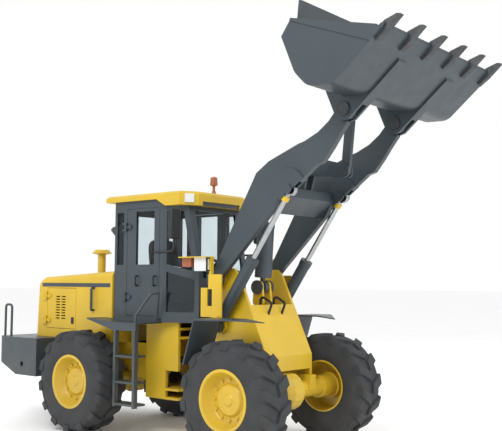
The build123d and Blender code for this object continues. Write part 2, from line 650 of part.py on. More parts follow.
def front_frame():
    inner, outer = TOWER_PLATE_IN, TOWER_PLATE_OUT
    tower = side_plate(
        [(335, 500), (980, 500), (1080, AXLE_SEAT), (1400, AXLE_SEAT), (1400, 1080), (960, 2030), (880, 2110),
         (600, 2110), (600, 1450), (335, 1340)], inner, outer)
    shelf = box(760, 1080, -inner, inner, 1640, 1665)
    web = box(340, 380, -inner, inner, 500, 1340) - bar((300, 0, SHAFT_HEIGHT), (420, 0, SHAFT_HEIGHT), 120)
    for slot in pair(box(330, 390, 150, 310, STEER_HEIGHT - 32, STEER_HEIGHT + 32)):
        web -= slot
    tongues = []
    for z in TONGUE_HEIGHTS:
        z0, z1 = z - TONGUE_THICKNESS / 2, z + TONGUE_THICKNESS / 2
        tongue = floor_plate([(-60, -90), (60, -110), (360, -330), (360, 330), (60, 110), (-60, 90)], z0, z1)
        tongues.append(tongue - upright(0, 0, STEER_PIVOT_RADIUS + RUNNING_FIT, z0, z1))
    side = [tower]
    for place in (BOOM_PIVOT, LIFT_BASE):
        arm_in, arm_out = ARM_CENTRE - ARM_THICKNESS / 2, ARM_CENTRE + ARM_THICKNESS / 2
        side.append(cross_bar(place, 95, outer, arm_in - GAP))
        side.append(cross_bar(place, PIN_RADIUS, outer, arm_out + GAP))
        side.append(cross_bar(place, PIN_RADIUS + 18, arm_out + GAP, arm_out + GAP + 16))
    lug = rounded_plate([(TILT_BASE[0] - 85, 1665), (TILT_BASE[0] + 85, 1665), (TILT_BASE[0] + 60, 1965),
                         (TILT_BASE[0] - 60, 1965)], 50, 58, 92)
    ear_x, ear_y = STEER_EYE
    for z in (STEER_HEIGHT - 52, STEER_HEIGHT + 32):
        side.append(box(ear_x, 350, ear_y - 42, ear_y + 42, z, z + 20))
        side.append(upright(ear_x, ear_y, 42, z, z + 20))
    side.append(upright(ear_x, ear_y, STEER_PIN_RADIUS, STEER_HEIGHT - 70, STEER_HEIGHT - 40))
    side.append(upright(ear_x, ear_y, STEER_PIN_RADIUS, STEER_HEIGHT + 40, STEER_HEIGHT + 70))
    lug -= cross_bar(TILT_BASE, PIN_RADIUS + RUNNING_FIT, 58, 92)
    solids = [front_face(), shelf, web, *tongues, *pair(lug)]
    for piece in side:
        solids += pair(piece)
    keep("front_frame", *solids)


# Fender strip in side view, from the front tip over the wheel and down behind it: x from the axle, z
FENDER_LINE = [(240, 1500), (-30, FENDER_TOP), (-430, FENDER_TOP), (-600, 1010)]
FENDER_CORNER = [(-140, FENDER_OUT), (240, FENDER_IN), (300, FENDER_OUT)]
BRACKET = (-790, -640, 1100)


def fenders():
    axle_x = WHEELBASE / 2
    line = [(axle_x + x, z) for x, z in FENDER_LINE]
    inward = [(0, -10), (0, -18), (8, -20), (18, 0)]
    lower = [(x + dx, z + dz) for (x, z), (dx, dz) in zip(line, inward)]
    strip = side_plate(line + lower[::-1], FENDER_IN, FENDER_OUT)
    strip -= floor_plate([(axle_x + x, y) for x, y in FENDER_CORNER], 1400, 1600)
    x0, x1, z = BRACKET
    bracket = box(axle_x + x0, axle_x - 560, TOWER_PLATE_OUT, FENDER_IN + 60, z, z + 18)
    gusset = box(axle_x + x0 - 20, axle_x + x0 + 60, TOWER_PLATE_OUT, TOWER_PLATE_OUT + 15, z - 100, z + 18)
    keep("front_fenders", *pair(Part() + [strip, bracket, gusset]))


# Lamp post on the fender: x from and to, y of its inner face, z from and to
LAMP_POST = (578, 905, 670, FENDER_TOP, 2040)


def headlamps():
    x0, x1, y, z0, z1 = LAMP_POST
    post = rounded_plate([(x0, z0), (x1, z0), (x1, z1), (x0, z1)], 12, y, y + 20)
    post -= box(x0 + 100, x0 + 180, y - 10, y + 40, z0 + 130, z0 + 330)
    post -= box(x0 - 10, x0 + 120, y - 10, y + 40, z1 - 160, z1 + 10)
    foot = box(x1 - 100, x1, y, FENDER_IN + 60, z0, z0 + 14)
    arm = box(x0 + 132, x0 + 160, y - 30, y + 20, z1 - 30, z1 + 210)
    hood_plate = box(x0 - 290, x0 + 160, y - 60, y + 120, z1 + 200, z1 + 212)
    keep("headlamp_brackets", *pair(Part() + [post, foot, arm, hood_plate]))
    lamp = box(x0 - 67, x0 + 131, y - 40, y + 70, z1 + 40, z1 + 200)
    blinker = box(x0 - 280, x0 - 130, y - 40, y + 60, z1 + 90, z1 + 200)
    keep("headlamps", *pair(lamp), *pair(blinker))


def hoses():
    line = [(1045, 130, 1665), (1045, 130, 1790), (1225, 130, 1700), (1165, 130, 1560)]
    hose = tube(line, 40, 15) - front_face()
    keep("hoses", *pair(hose))


# Boom and bucket linkage
def boom():
    inner, outer = ARM_CENTRE - ARM_THICKNESS / 2, ARM_CENTRE + ARM_THICKNESS / 2
    top = [boom_place(s, high) for s, high, low in ARM_SECTIONS]
    bottom = [boom_place(s, low) for s, high, low in ARM_SECTIONS]
    blade = rounded_plate(top + bottom[::-1], 20, inner, outer)
    blade += cross_bar(BOOM_PIVOT, ARM_ROOT_RADIUS, inner, outer)
    blade += cross_bar(BUCKET_PIVOT, ARM_TIP_RADIUS, inner, outer)
    blade -= cross_bar(LIFT_EYE, 165, inner, outer)
    back = between(LIFT_EYE, LIFT_BASE, 330)
    blade -= bar((LIFT_EYE[0], ARM_CENTRE, LIFT_EYE[1]), (back[0], ARM_CENTRE, back[1]), 58)
    rim = [boom_place(s, high - CHEEK_EDGE) for s, high, low in ARM_SECTIONS]
    rim += [boom_place(s, low + CHEEK_EDGE) for s, high, low in ARM_SECTIONS[::-1]]
    for y in (inner - CHEEK, outer):
        disc = Pos(LIFT_EYE[0], y, LIFT_EYE[1]) * Rot(90, 0, 0) * Cylinder(CHEEK_RADIUS, 3 * CHEEK)
        blade += side_plate(rim, y, y + CHEEK) & disc
    lowered = turned(LIFT_BASE, BOOM_PIVOT, LIFT_TRAVEL)
    near, far = (between(LIFT_EYE, lowered, reach) for reach in NOTCH)
    blade -= bar((near[0], ARM_CENTRE, near[1]), (far[0], ARM_CENTRE, far[1]), LIFT_BARREL_RADIUS + 22)
    blade += cross_bar(LIFT_EYE, 55, inner - 40, inner - CHEEK) + cross_bar(LIFT_EYE, 55, outer + CHEEK, outer + 40)
    blade -= cross_bar(BOOM_PIVOT, PIN_RADIUS + RUNNING_FIT, inner, outer)
    blade -= cross_bar(BUCKET_PIVOT, PIN_RADIUS + RUNNING_FIT, inner, outer)
    ends = [boom_place(1110, 5), boom_place(1400, -25), boom_place(1470, 60), boom_place(1420, 130),
            boom_place(1150, 130)]
    beam = side_plate(ends, -inner, inner)
    lug = rounded_plate([boom_place(1230, 90), boom_place(1440, 70), boom_place(1730, 240),
                         boom_place(1700, 400), boom_place(1560, 400)], 40, 55, 90)
    lug -= cross_bar(ROCKER_PIVOT, PIN_RADIUS + RUNNING_FIT, 55, 90)
    keep("boom", beam, *pair(blade), *pair(lug))


def capped_pin(place, radius, reach):
    """A pin across the middle of the machine with a cap at each end."""
    return Part() + [cross_bar(place, radius, -reach, reach),
                     *pair(cross_bar(place, CAP_RADIUS, reach, reach + CAP_THICKNESS))]


def pins():
    """Pins that turn with the levelling motion: bucket hinge pins and those of rocker, link and tilt cylinder."""
    ear_out = ARM_CENTRE + ARM_THICKNESS / 2 + GAP + 35
    ear_in = ARM_CENTRE - ARM_THICKNESS / 2 - GAP - 35
    hinge_pin = cross_bar(BUCKET_PIVOT, PIN_RADIUS, ear_in - 2, ear_out + 2)
    for y in (ear_in - 24, ear_out + 2):
        hinge_pin += cross_bar(BUCKET_PIVOT, CAP_RADIUS - 10, y, y + 22)
    keep("bucket_pins", *pair(hinge_pin))
    keep("rocker_pin", capped_pin(ROCKER_PIVOT, PIN_RADIUS, 92))
    keep("link_pin", capped_pin(LINK_HIGH, LINK_PIN_RADIUS, 89))
    keep("tilt_pin", capped_pin(TILT_BASE, PIN_RADIUS, 94))


def rocker():
    half = 48
    arms = rounded_plate([(TILT_EYE[0] - 60, TILT_EYE[1] - 70), (ROCKER_PIVOT[0], ROCKER_PIVOT[1] - 120),
                          (LINK_LOW[0] + 60, LINK_LOW[1] - 70), (LINK_LOW[0] + 70, LINK_LOW[1] + 70),
                          (ROCKER_PIVOT[0], ROCKER_PIVOT[1] + 120), (TILT_EYE[0] - 80, TILT_EYE[1] + 70)],
                         45, -half, half)
    arms -= cross_bar(ROCKER_PIVOT, PIN_RADIUS + RUNNING_FIT, -half, half)
    for place, slot in ((TILT_EYE, 240), (LINK_LOW, 200)):
        arms -= cross_bar(place, slot, -30, 30)
        for y in (-half - 14, half):
            arms += cross_bar(place, 45, y, y + 14)
    keep("rocker", arms)


def link():
    body = rounded_plate([(LINK_LOW[0] - 55, LINK_LOW[1] - 40), (LINK_LOW[0] + 55, LINK_LOW[1] - 40),
                          (LINK_HIGH[0] + 55, LINK_HIGH[1] + 40), (LINK_HIGH[0] - 55, LINK_HIGH[1] + 40)],
                         35, -25, 25)
    body += cross_bar(LINK_HIGH, LINK_PIN_RADIUS + 30, -45, 45)
    body -= cross_bar(LINK_HIGH, LINK_PIN_RADIUS + RUNNING_FIT, -45, 45)
    keep("link", body)


def bucket():
    half = BUCKET_WIDTH / 2
    outer = [BUCKET_LIP, BUCKET_CHEEK, BUCKET_BROW, BUCKET_BACK_TOP, BUCKET_BACK_MID, BUCKET_BACK_LOW, BUCKET_HEEL]
    radii_points = [bucket_place(p) for p in outer]
    skin = side_plate(radii_points, -half, half)
    heel = [e for e in skin.edges().filter_by(Axis.Y)
            if min(math.dist((e.center().X, e.center().Z), bucket_place(p))
                   for p in (BUCKET_HEEL, BUCKET_BACK_LOW, BUCKET_BACK_MID)) < 1]
    skin = fillet(heel, HEEL_RADIUS)
    hollow = inset(outer, BUCKET_WALL)
    hollow[0] = (BUCKET_LIP[0] + 300, BUCKET_FLOOR + BUCKET_WALL)
    hollow[1] = (BUCKET_LIP[0] + 300, 700)
    hollow[2] = (BUCKET_BROW[0] + 300, BUCKET_BROW[1] + 400)
    hollow.insert(3, (BUCKET_BROW[0] + 5, BUCKET_BROW[1] - BUCKET_WALL))
    space = side_plate([bucket_place(p) for p in hollow], BUCKET_WALL - half, half - BUCKET_WALL)
    inner_heel = [e for e in space.edges().filter_by(Axis.Y)
                  if min(math.dist((e.center().X, e.center().Z), bucket_place(p)) for p in hollow[5:]) < 1]
    space = fillet(inner_heel, HEEL_RADIUS - BUCKET_WALL)
    shell = skin - space
    guard = bucket_plate([BUCKET_BROW, (BUCKET_BROW[0] - 25, BUCKET_BROW[1] - 10), (SPILL_TOP[0] - 20, SPILL_TOP[1] + 8),
                          SPILL_TOP], 120 - half, half - 120)
    edge = bucket_plate([(790, BUCKET_FLOOR), (1040, BUCKET_FLOOR), (1070, BUCKET_FLOOR + 12),
                         (1040, BUCKET_FLOOR + 40), (790, BUCKET_FLOOR + 30)], -half, half)
    wear = bucket_plate([(355, 824), (BUCKET_BROW[0], BUCKET_BROW[1]), BUCKET_CHEEK, BUCKET_LIP, (850, BUCKET_FLOOR)],
                        half, half + 12)
    arm_in, arm_out = ARM_CENTRE - ARM_THICKNESS / 2, ARM_CENTRE + ARM_THICKNESS / 2
    ear_line = [(-20, -124), (330, -124), (330, -90), (110, 110), (75, 360), (60, 520), (-10, 400), (-115, 60),
                (-110, -80)]
    solids = [shell, guard, edge, *pair(wear)]
    for y in (arm_in - GAP - 35, arm_out + GAP):
        ear = bucket_plate(ear_line, y, y + 35)
        ear -= space
        ear -= cross_bar(BUCKET_PIVOT, PIN_RADIUS + RUNNING_FIT, y, y + 35)
        solids += pair(ear)
    strip = bucket_plate([(180, -124), (780, -124), (800, BUCKET_FLOOR), (180, BUCKET_FLOOR)], arm_in - 41, arm_out + 41)
    strip -= space
    link_line = [(-95, 330), (-95, 440), (-20, 500), (90, 560), (90, 250), (0, 270)]
    lug = bucket_plate(link_line, 52, 87) - space
    lug -= cross_bar(LINK_HIGH, LINK_PIN_RADIUS + RUNNING_FIT, 52, 87)
    keep("bucket", *solids, *pair(strip), *pair(lug))


def bucket_teeth():
    teeth = []
    line = [(880, BUCKET_FLOOR), (880, BUCKET_FLOOR - 28), (1010, BUCKET_FLOOR - 40), TOOTH_TIP,
            (1200, -100), (1070, -45), (930, -45), (930, -60), (1040, -60), (1070, -88), (1040, BUCKET_FLOOR)]
    for k in range(TOOTH_COUNT):
        y = (k - (TOOTH_COUNT - 1) / 2) * TOOTH_PITCH
        teeth.append(bucket_plate(line, y - TOOTH_WIDTH / 2, y + TOOTH_WIDTH / 2))
    keep("bucket_teeth", *teeth)


def cylinder(base, eye, y, barrel, rod, length, base_bore, open_eye):
    """Barrel and rod of a cylinder in the side view, with a bored base eye and an open rod eye."""
    nose = between(base, eye, length)
    start = between(base, eye, EYE_RADIUS + 40)
    body = bar((start[0], y, start[1]), (nose[0], y, nose[1]), barrel)
    body += bar((base[0], y, base[1]), (start[0], y, start[1]), EYE_WIDTH / 2)
    gland = between(base, eye, length - 70)
    body += bar((gland[0], y, gland[1]), (nose[0], y, nose[1]), barrel + 6)
    body += cross_bar(base, EYE_RADIUS, y - EYE_WIDTH / 2, y + EYE_WIDTH / 2)
    body -= cross_bar(base, base_bore, y - 150, y + 150)
    inside = between(base, eye, 120)
    body -= bar((inside[0], y, inside[1]), (nose[0], y, nose[1]), rod + RUNNING_FIT)
    tail = between(base, eye, length - 80)
    tip = between(eye, base, 30)
    stem = bar((tail[0], y, tail[1]), (tip[0], y, tip[1]), rod)
    stem += cross_bar(eye, EYE_RADIUS, y - open_eye / 2, y + open_eye / 2)
    stem -= cross_bar(eye, PIN_RADIUS, y - 100, y + 100)
    return body, stem


def cylinders():
    lift_barrel, lift_rod = cylinder(LIFT_BASE, LIFT_EYE, ARM_CENTRE, LIFT_BARREL_RADIUS, LIFT_ROD_RADIUS,
                                     LIFT_BARREL_LENGTH, PIN_RADIUS + RUNNING_FIT, EYE_WIDTH)
    keep("lift_barrels", *pair(lift_barrel))
    keep("lift_rods", *pair(lift_rod))
    barrel, rod = cylinder(TILT_BASE, TILT_EYE, 0, TILT_BARREL_RADIUS, TILT_ROD_RADIUS, TILT_BARREL_LENGTH,
                           PIN_RADIUS + RUNNING_FIT, 48)
    keep("tilt_barrel", barrel)
    keep("tilt_rod", rod)


def steering_cylinders():
    for name, side in (("left", 1), ("right", -1)):
        x0, y0 = STEER_BASE[0], side * STEER_BASE[1]
        x1, y1 = STEER_EYE[0], side * STEER_EYE[1]
        z = STEER_HEIGHT
        end = x0 + STEER_BARREL_LENGTH
        body = bar((x0 + 20, y0, z), (end, y0, z), STEER_BARREL_RADIUS)
        body = body - box(x0 - 200, x0 + 55, y0 - 80, y0 + 80, z + 29, z + 80) - box(
            x0 - 200, x0 + 55, y0 - 80, y0 + 80, z - 80, z - 29)
        body += upright(x0, y0, STEER_BARREL_RADIUS, z - 29, z + 29)
        body -= upright(x0, y0, STEER_PIN_RADIUS + RUNNING_FIT, z - 80, z + 80)
        body -= bar((x0 + 90, y0, z), (end, y0, z), STEER_ROD_RADIUS + RUNNING_FIT)
        stem = bar((end - 160, y0, z), (x1 - 20, y1, z), STEER_ROD_RADIUS)
        stem += upright(x1, y1, 36, z - 27, z + 27)
        stem -= upright(x1, y1, STEER_PIN_RADIUS, z - 60, z + 60)
        keep(f"steer_barrel_{name}", body)
        keep(f"steer_rod_{name}", stem)


def main():
    wheels()
    axle("rear_axle", -WHEELBASE / 2, 1, TRANSMISSION[0])
    axle("front_axle", WHEELBASE / 2, -1, SHAFT_FRONT_START)
    rear_frame()
    counterweight()
    hood()
    engine_bay()
    driveline()
    cab()
    roof()
    cab_inside()
    outside_fittings()
    platforms()
    front_frame()
    fenders()
    headlamps()
    hoses()
    boom()
    pins()
    rocker()
    link()
    bucket()
    bucket_teeth()
    cylinders()
    steering_cylinders()
    os.makedirs("parts", exist_ok=True)
    for name, solid in PARTS.items():
        export_step(Pos(-ORIGIN_X, 0, 0) * solid, f"parts/{name}.step")


main()
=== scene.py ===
import json
import math

import bmesh
import bpy
from mathutils import Matrix, Vector


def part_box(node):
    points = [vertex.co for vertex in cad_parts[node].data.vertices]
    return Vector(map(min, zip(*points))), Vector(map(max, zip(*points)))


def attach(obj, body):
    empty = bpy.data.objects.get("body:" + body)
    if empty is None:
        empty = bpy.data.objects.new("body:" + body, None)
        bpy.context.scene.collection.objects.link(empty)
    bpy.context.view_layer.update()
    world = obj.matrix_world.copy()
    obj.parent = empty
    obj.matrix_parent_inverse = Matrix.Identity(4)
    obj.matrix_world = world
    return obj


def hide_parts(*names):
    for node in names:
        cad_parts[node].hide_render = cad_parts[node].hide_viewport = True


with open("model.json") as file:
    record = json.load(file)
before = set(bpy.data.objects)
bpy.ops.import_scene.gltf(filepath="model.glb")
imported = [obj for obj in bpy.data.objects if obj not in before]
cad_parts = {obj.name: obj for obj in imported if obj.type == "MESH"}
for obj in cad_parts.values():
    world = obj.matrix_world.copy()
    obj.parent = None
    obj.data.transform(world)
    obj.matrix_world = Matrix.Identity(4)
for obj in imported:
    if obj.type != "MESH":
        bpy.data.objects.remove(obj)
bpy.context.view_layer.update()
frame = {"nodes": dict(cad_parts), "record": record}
NODES = frame["nodes"]

# Camera, solved on the photograph, which is 502 pixels wide
IMAGE_WIDTH = 502
FOCAL_PIXELS = 828.6
SENSOR_MM = 36
CAMERA_PLACE = (7.184, -7.953, 1.943)
CAMERA_YAW = -0.6971
CAMERA_PITCH = 0.0810
CAMERA_ROLL = 0.0061

# Colours, linear
YELLOW = (0.60, 0.395, 0.014)
SLATE = (0.034, 0.047, 0.057)
TYRE = (0.024, 0.027, 0.031)
BLACK = (0.012, 0.013, 0.014)
CHROME = (0.42, 0.43, 0.44)
CAST = (0.045, 0.048, 0.052)
DUST = (0.22, 0.18, 0.13)
AMBER = (0.36, 0.085, 0.012)
RED = (0.40, 0.012, 0.010)
LENS = (0.80, 0.82, 0.82)
GLASS = (0.82, 0.88, 0.90)
# Painted shade: the dark of the cab's shaded inside, seen through the lower corner windows
PAINTED_SHADE_DARK = (0.02, 0.026, 0.028)
FABRIC = (0.030, 0.031, 0.034)


# Materials
def new_material(name):
    material = bpy.data.materials.new(name)
    material.use_nodes = True
    tree = material.node_tree
    shader = tree.nodes["Principled BSDF"]
    return material, tree, shader


def link(tree, source, output, target, socket):
    tree.links.new(source.outputs[output], target.inputs[socket])


def noise(tree, scale, detail=4.0):
    coords = tree.nodes.new("ShaderNodeTexCoord")
    node = tree.nodes.new("ShaderNodeTexNoise")
    node.inputs["Scale"].default_value = scale
    node.inputs["Detail"].default_value = detail
    link(tree, coords, "Object", node, "Vector")
    return node


def spread(tree, source, output, low, high):
    """The source's middle range stretched to run from low to high."""
    node = tree.nodes.new("ShaderNodeMapRange")
    node.inputs["From Min"].default_value = 0.3
    node.inputs["From Max"].default_value = 0.7
    node.inputs["To Min"].default_value = low
    node.inputs["To Max"].default_value = high
    link(tree, source, output, node, "Value")
    return node


def mix_colour(tree, factor, output, first, second):
    """Mixes two colours; each is a colour or the node that gives it."""
    node = tree.nodes.new("ShaderNodeMix")
    node.data_type = "RGBA"
    link(tree, factor, output, node, 0)
    for socket, value in ((6, first), (7, second)):
        if isinstance(value, tuple):
            node.inputs[socket].default_value = (*value, 1)
        else:
            tree.links.new(value.outputs[2], node.inputs[socket])
    return node


def bump(tree, shader, source, output, strength, distance):
    node = tree.nodes.new("ShaderNodeBump")
    node.inputs["Strength"].default_value = strength
    node.inputs["Distance"].default_value = distance
    link(tree, source, output, node, "Height")
    link(tree, node, "Normal", shader, "Normal")
    return node


def shade(colour, factor):
    return tuple(c * factor for c in colour)


def dust_mask(tree, low, high, amount):
    """Dust that thins out from a low height to a high one, broken up by noise."""
    coords = tree.nodes.new("ShaderNodeTexCoord")
    split = tree.nodes.new("ShaderNodeSeparateXYZ")
    link(tree, coords, "Object", split, "Vector")
    height = tree.nodes.new("ShaderNodeMapRange")
    height.inputs["From Min"].default_value = low
    height.inputs["From Max"].default_value = high
    height.inputs["To Min"].default_value = amount
    height.inputs["To Max"].default_value = 0
    link(tree, split, "Z", height, "Value")
    patches = spread(tree, noise(tree, 4.5, 6.0), "Fac", 0.25, 1.0)
    product = tree.nodes.new("ShaderNodeMath")
    product.operation = "MULTIPLY"
    link(tree, height, "Result", product, 0)
    link(tree, patches, "Result", product, 1)
    return product


def paint(name, colour, roughness, dust):
    """Sprayed paint: slow colour drift, orange peel, road dust low down."""
    material, tree, shader = new_material(name)
    drift = spread(tree, noise(tree, 1.6), "Fac", 0.0, 1.0)
    coat = mix_colour(tree, drift, "Result", shade(colour, 0.90), shade(colour, 1.06))
    soiled = mix_colour(tree, dust_mask(tree, 0.2, 1.5, dust), "Value", coat, DUST)
    tree.links.new(soiled.outputs[2], shader.inputs["Base Color"])
    gloss = spread(tree, noise(tree, 7.0), "Fac", roughness - 0.06, roughness + 0.08)
    link(tree, gloss, "Result", shader, "Roughness")
    shader.inputs["Coat Weight"].default_value = 0.15
    shader.inputs["Coat Roughness"].default_value = 0.25
    bump(tree, shader, noise(tree, 160.0, 2.0), "Fac", 0.06, 0.002)
    return material


def rubber(name, colour):
    material, tree, shader = new_material(name)
    drift = spread(tree, noise(tree, 6.0), "Fac", 0.0, 1.0)
    base = mix_colour(tree, drift, "Result", shade(colour, 0.8), shade(colour, 1.35))
    soiled = mix_colour(tree, dust_mask(tree, 0.0, 1.6, 0.10), "Value", base, DUST)
    tree.links.new(soiled.outputs[2], shader.inputs["Base Color"])
    gloss = spread(tree, noise(tree, 12.0), "Fac", 0.72, 0.92)
    link(tree, gloss, "Result", shader, "Roughness")
    bump(tree, shader, noise(tree, 90.0, 6.0), "Fac", 0.25, 0.004)
    return material


def metal(name, colour, roughness, grain):
    """Bare metal with a fine grain."""
    material, tree, shader = new_material(name)
    drift = spread(tree, noise(tree, 9.0), "Fac", 0.0, 1.0)
    base = mix_colour(tree, drift, "Result", shade(colour, 0.85), colour)
    tree.links.new(base.outputs[2], shader.inputs["Base Color"])
    shader.inputs["Metallic"].default_value = 1.0
    gloss = spread(tree, noise(tree, grain), "Fac", roughness * 0.8, roughness * 1.25)
    link(tree, gloss, "Result", shader, "Roughness")
    return material


def cast(name, colour):
    """Rough dark casting with worn, lighter patches."""
    material, tree, shader = new_material(name)
    worn = spread(tree, noise(tree, 11.0, 8.0), "Fac", 0.0, 0.6)
    base = mix_colour(tree, worn, "Result", colour, shade(colour, 2.2))
    tree.links.new(base.outputs[2], shader.inputs["Base Color"])
    shader.inputs["Metallic"].default_value = 0.35
    gloss = spread(tree, noise(tree, 20.0), "Fac", 0.5, 0.75)
    link(tree, gloss, "Result", shader, "Roughness")
    bump(tree, shader, noise(tree, 70.0, 6.0), "Fac", 0.2, 0.003)
    return material


def moulded(name, colour, roughness):
    """Moulded plastic with a fine leathery grain."""
    material, tree, shader = new_material(name)
    drift = spread(tree, noise(tree, 5.0), "Fac", 0.0, 1.0)
    base = mix_colour(tree, drift, "Result", shade(colour, 0.85), shade(colour, 1.2))
    tree.links.new(base.outputs[2], shader.inputs["Base Color"])
    gloss = spread(tree, noise(tree, 14.0), "Fac", roughness - 0.07, roughness + 0.07)
    link(tree, gloss, "Result", shader, "Roughness")
    grain = tree.nodes.new("ShaderNodeTexVoronoi")
    grain.inputs["Scale"].default_value = 220.0
    coords = tree.nodes.new("ShaderNodeTexCoord")
    link(tree, coords, "Object", grain, "Vector")
    bump(tree, shader, grain, "Distance", 0.15, 0.001)
    return material


def glass(name, colour, transmission, roughness):
    """Sheet glass or a lens, with faint smears in its gloss."""
    material, tree, shader = new_material(name)
    drift = spread(tree, noise(tree, 3.0), "Fac", 0.0, 1.0)
    base = mix_colour(tree, drift, "Result", shade(colour, 0.94), colour)
    tree.links.new(base.outputs[2], shader.inputs["Base Color"])
    smear = spread(tree, noise(tree, 6.0, 5.0), "Fac", roughness, roughness + 0.04)
    link(tree, smear, "Result", shader, "Roughness")
    shader.inputs["Transmission Weight"].default_value = transmission
    shader.inputs["IOR"].default_value = 1.2
    return material


def lens(name, colour, scale):
    """A ribbed lamp lens: the flutes are in its bump."""
    material, tree, shader = new_material(name)
    coords = tree.nodes.new("ShaderNodeTexCoord")
    flutes = tree.nodes.new("ShaderNodeTexWave")
    flutes.bands_direction = "Z"
    flutes.inputs["Scale"].default_value = scale
    flutes.inputs["Distortion"].default_value = 0.4
    link(tree, coords, "Object", flutes, "Vector")
    base = mix_colour(tree, flutes, "Fac", shade(colour, 0.72), colour)
    tree.links.new(base.outputs[2], shader.inputs["Base Color"])
    shader.inputs["Roughness"].default_value = 0.12
    shader.inputs["Coat Weight"].default_value = 0.6
    bump(tree, shader, flutes, "Fac", 0.5, 0.004)
    return material


def cloth(name, colour):
    """Woven seat cover."""
    material, tree, shader = new_material(name)
    coords = tree.nodes.new("ShaderNodeTexCoord")
    threads = []
    for direction in ("Y", "Z"):
        wave = tree.nodes.new("ShaderNodeTexWave")
        wave.bands_direction = direction
        wave.inputs["Scale"].default_value = 130.0
        wave.inputs["Distortion"].default_value = 0.6
        link(tree, coords, "Object", wave, "Vector")
        threads.append(wave)
    weave = tree.nodes.new("ShaderNodeMath")
    weave.operation = "MULTIPLY"
    link(tree, threads[0], "Fac", weave, 0)
    link(tree, threads[1], "Fac", weave, 1)
    base = mix_colour(tree, weave, "Value", shade(colour, 0.7), shade(colour, 1.6))
    tree.links.new(base.outputs[2], shader.inputs["Base Color"])
    shader.inputs["Roughness"].default_value = 0.9
    shader.inputs["Sheen Weight"].default_value = 0.3
    bump(tree, shader, weave, "Value", 0.4, 0.002)
    return material


MATERIALS = {
    "yellow": paint("yellow_paint", YELLOW, 0.38, 0.22),
    "slate": paint("slate_paint", SLATE, 0.45, 0.22),
    "dark_steel": cast("dark_casting", CAST),
    "rod_chrome": metal("rod_chrome", CHROME, 0.12, 30.0),
    "tyre": rubber("tyre_rubber", TYRE),
    "glass": glass("sheet_glass", GLASS, 1.0, 0.0),
    "black_plastic": moulded("black_plastic", BLACK, 0.5),
    # Painted shade: an opaque dark sheet in place of the cab's shaded inside behind the lower windows
    "shade_pane": moulded("painted_shade_pane", PAINTED_SHADE_DARK, 0.16),
    "lamp": lens("clear_lens", LENS, 22.0),
    "amber": lens("amber_lens", AMBER, 30.0),
    "red_lamp": lens("red_lens", RED, 30.0),
    "hose": rubber("hose_rubber", BLACK),
    "fabric": cloth("seat_cloth", FABRIC),
}


def dress_nodes():
    """Every CAD node gets the material of its slot in the record."""
    for entry in frame["record"]["subparts"]:
        mesh = NODES[entry["node"]].data
        mesh.materials.clear()
        mesh.materials.append(MATERIALS[entry["material_slot"]])


# Mesh pieces
SMOOTH_ANGLE = math.radians(38)
RING_STEPS = 96
TUBE_STEPS = 16
# Faces of a box whose corners run through x, then y, then z
BOX_FACES = [(0, 1, 3, 2), (4, 6, 7, 5), (0, 4, 5, 1), (2, 3, 7, 6), (0, 2, 6, 4), (1, 5, 7, 3)]


def piece(name, vertices, faces, material, body, bevel=0.0):
    """A named mesh that rides on a body, smooth but for its sharp edges."""
    mesh = bpy.data.meshes.new(name)
    mesh.from_pydata([tuple(v) for v in vertices], [], faces)
    mesh.validate()
    form = bmesh.new()
    form.from_mesh(mesh)
    bmesh.ops.recalc_face_normals(form, faces=form.faces)
    for edge in form.edges:
        edge.smooth = len(edge.link_faces) == 2 and edge.calc_face_angle(0) < SMOOTH_ANGLE
    for face in form.faces:
        face.smooth = True
    form.to_mesh(mesh)
    form.free()
    mesh.materials.append(MATERIALS[material])
    made = bpy.data.objects.new(name, mesh)
    bpy.context.scene.collection.objects.link(made)
    if bevel:
        rounding = made.modifiers.new("bevel", "BEVEL")
        rounding.width = bevel
        rounding.segments = 2
        rounding.limit_method = "ANGLE"
        rounding.angle_limit = SMOOTH_ANGLE
    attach(made, body)
    return made


class Form:
    """Vertices and faces that grow shape by shape."""

    def __init__(self):
        self.vertices = []
        self.faces = []

    def add(self, vertices, faces):
        first = len(self.vertices)
        self.vertices += [Vector(v) for v in vertices]
        self.faces += [tuple(first + k for k in face) for face in faces]

    def rows(self, rows, closed_rows, closed_ends):
        """A skin over rows of points; a row may close on itself, and the ends may be capped."""
        count = len(rows[0])
        faces = []
        for j in range(len(rows) - 1):
            for k in range(count if closed_rows else count - 1):
                n = (k + 1) % count
                faces.append((j * count + k, j * count + n, (j + 1) * count + n, (j + 1) * count + k))
        if closed_ends:
            last = (len(rows) - 1) * count
            faces.append(tuple(range(count)))
            faces.append(tuple(last + k for k in range(count)))
        self.add([p for row in rows for p in row], faces)

    def ring(self, centre, axis, profile, steps):
        """A profile of (radius, place along the axis) turned about an axis through a centre."""
        side = axis.orthogonal().normalized()
        other = axis.cross(side)
        rows = []
        for k in range(steps + 1):
            turn = 2 * math.pi * k / steps
            out = side * math.cos(turn) + other * math.sin(turn)
            rows.append([centre + out * r + axis * a for r, a in profile])
        self.rows(rows, False, False)

    def box(self, low, high):
        xs, ys, zs = zip(low, high)
        corners = [(x, y, z) for x in xs for y in ys for z in zs]
        self.add(corners, BOX_FACES)

    def tube(self, points, radius):
        """A round tube along points, its section carried without twist."""
        ahead = (points[1] - points[0]).normalized()
        side = ahead.orthogonal().normalized()
        rows = []
        for k, place in enumerate(points):
            ahead = (points[min(k + 1, len(points) - 1)] - points[max(k - 1, 0)]).normalized()
            side = (side - ahead * side.dot(ahead)).normalized()
            other = ahead.cross(side)
            turns = [2 * math.pi * n / TUBE_STEPS for n in range(TUBE_STEPS)]
            rows.append([place + (side * math.cos(t) + other * math.sin(t)) * radius for t in turns])
        self.rows(rows, True, True)


